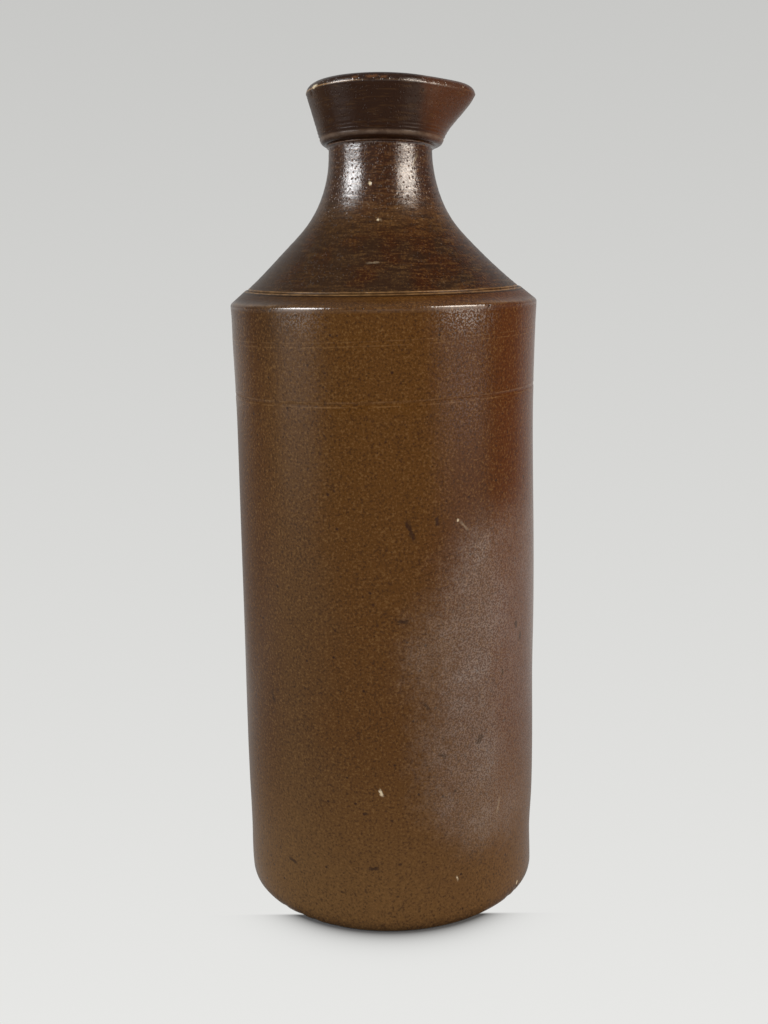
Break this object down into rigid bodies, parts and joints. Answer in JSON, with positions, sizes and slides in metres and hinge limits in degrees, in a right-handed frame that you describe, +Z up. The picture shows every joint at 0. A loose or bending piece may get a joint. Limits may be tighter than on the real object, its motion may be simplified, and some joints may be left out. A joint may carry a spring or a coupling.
{
  "type": "stoneware ink bottle",
  "caption": "Tall round salt-glazed stoneware bottle with a tooled shoulder, a concave neck and a flared collar pulled out into a pouring lip.",
  "frame": {"origin": "on the bottle's axis, on the surface it stands on", "axes": "+Z up along the axis, +X towards the pouring lip"},
  "size_m": [0.0912, 0.0912, 0.2422],
  "materials": {
    "stoneware": "satin"
  },
  "bodies": {
    "root": {"bottle": "stoneware"}
  },
  "joints": []
}
